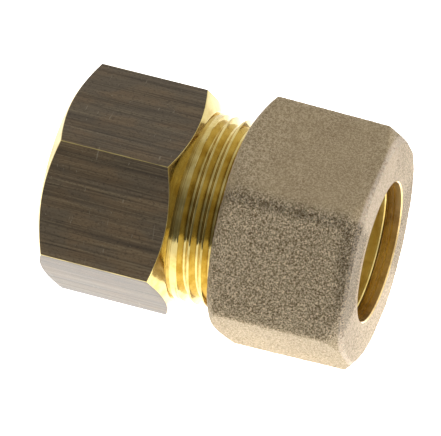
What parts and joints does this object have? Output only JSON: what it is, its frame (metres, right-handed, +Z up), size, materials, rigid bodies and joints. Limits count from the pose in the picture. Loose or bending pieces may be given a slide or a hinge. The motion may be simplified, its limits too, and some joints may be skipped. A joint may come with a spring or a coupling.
{
  "type": "compression fitting",
  "caption": "Straight brass compression fitting: hexagonal body with a female pipe thread, a cutting ring, and a forged hexagonal nut that screws on to clamp a plain pipe.",
  "frame": {"origin": "on the pipe axis, half way along the assembled fitting, at the centre of its box", "axes": "+X along the pipe axis from the female thread to the nut, +Z up, with the nut lying on one of its flats"},
  "size_m": [0.0508, 0.0414, 0.036],
  "materials": {
    "bar_brass": "drawn hexagonal brass bar, oxidised dark brown with lengthwise streaks, bright yellow where it is machined",
    "machined_brass": "turned bright yellow brass",
    "forged_brass": "hot-forged and shot-blasted matt grey-brown brass with a fine rough grain"
  },
  "bodies": {
    "body": {"fitting_body": "bar_brass"},
    "ring": {"cutting_ring": "machined_brass"},
    "nut": {"compression_nut": "forged_brass"}
  },
  "joints": [
    {"name": "ring_slide", "type": "slide", "parent": "body", "child": "ring", "axis": [1, 0, 0], "range_m": [-0.00201, 0.01001]},
    {"name": "nut_turn", "type": "hinge", "parent": "ring", "child": "nut", "pos_m": [0, 0, 0], "axis": [1, 0, 0], "range_deg": [-360, 1800]}
  ],
  "couplings": [
    {"joint": "ring_slide", "follows": "nut_turn", "m_per_rad": 0.00031831}
  ]
}
